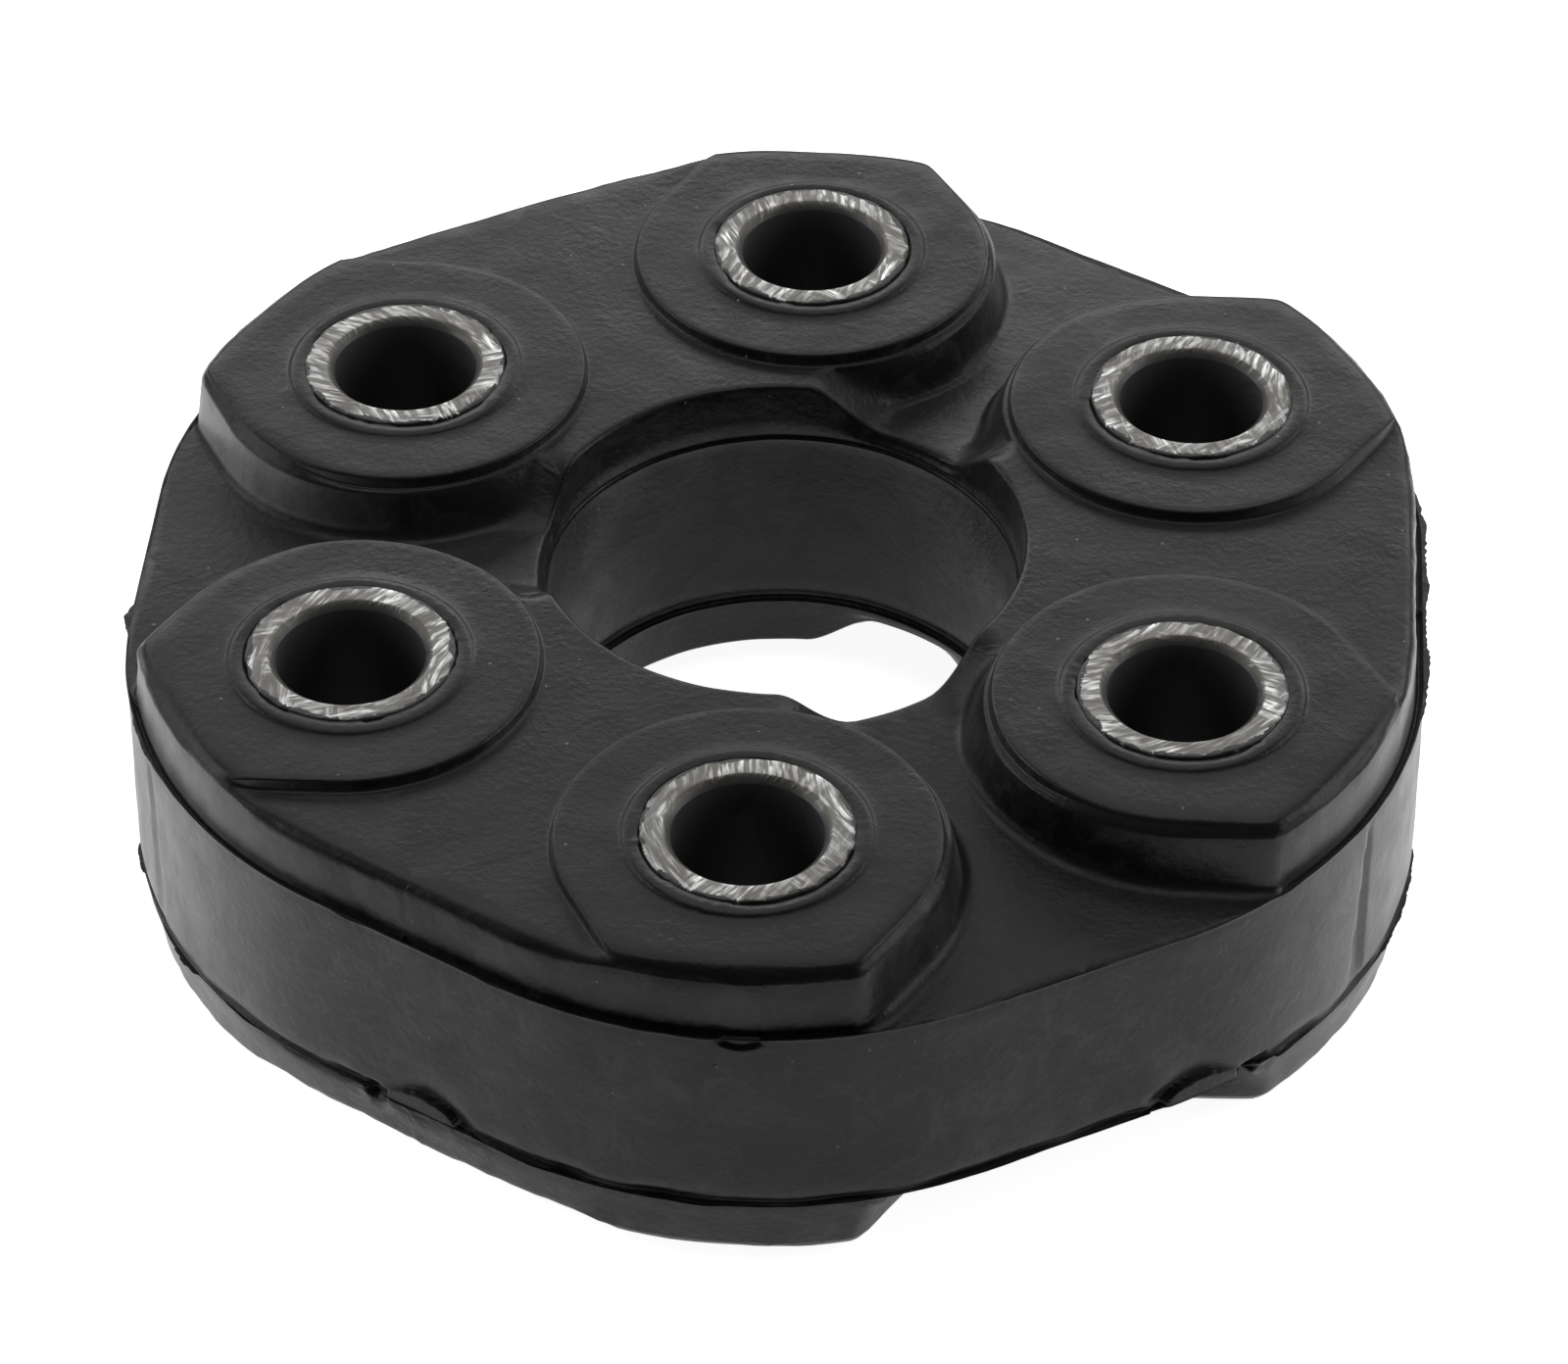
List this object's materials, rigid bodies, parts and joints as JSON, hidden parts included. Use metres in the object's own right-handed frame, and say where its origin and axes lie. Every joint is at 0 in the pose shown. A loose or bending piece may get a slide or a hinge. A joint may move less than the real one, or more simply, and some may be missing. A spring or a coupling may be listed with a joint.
{
  "type": "driveshaft flex disc",
  "caption": "Moulded rubber coupling disc with steel bolt sleeves and hidden thread loops, joining two three-arm shaft flanges.",
  "frame": {"origin": "on the disc's axis, in the plane of the lower sleeve ends it rests on", "axes": "+Z along the disc's axis towards the upper sleeve ends; +X through the middle of a thick link"},
  "size_m": [0.1076, 0.1122, 0.0315],
  "materials": {
    "rubber": "moulded, matt charcoal, fine grain",
    "sleeve_steel": "ground ends with coarse bright scratches",
    "collar_steel": "plain pressed",
    "wound_thread": "wound cord"
  },
  "bodies": {
    "root": {"rubber_body": "rubber", "sleeve_1": "sleeve_steel", "sleeve_2": "sleeve_steel", "sleeve_3": "sleeve_steel", "sleeve_4": "sleeve_steel", "sleeve_5": "sleeve_steel", "sleeve_6": "sleeve_steel", "sleeve_collar_upper_1": "collar_steel", "sleeve_collar_lower_1": "collar_steel", "sleeve_collar_upper_2": "collar_steel", "sleeve_collar_lower_2": "collar_steel", "sleeve_collar_upper_3": "collar_steel", "sleeve_collar_lower_3": "collar_steel", "sleeve_collar_upper_4": "collar_steel", "sleeve_collar_lower_4": "collar_steel", "sleeve_collar_upper_5": "collar_steel", "sleeve_collar_lower_5": "collar_steel", "sleeve_collar_upper_6": "collar_steel", "sleeve_collar_lower_6": "collar_steel", "thread_pack_thick_1_upper": "wound_thread", "thread_pack_thick_1_lower": "wound_thread", "thread_pack_thick_2_upper": "wound_thread", "thread_pack_thick_2_lower": "wound_thread", "thread_pack_thick_3_upper": "wound_thread", "thread_pack_thick_3_lower": "wound_thread", "thread_pack_thin_1": "wound_thread", "thread_pack_thin_2": "wound_thread", "thread_pack_thin_3": "wound_thread"}
  },
  "joints": []
}
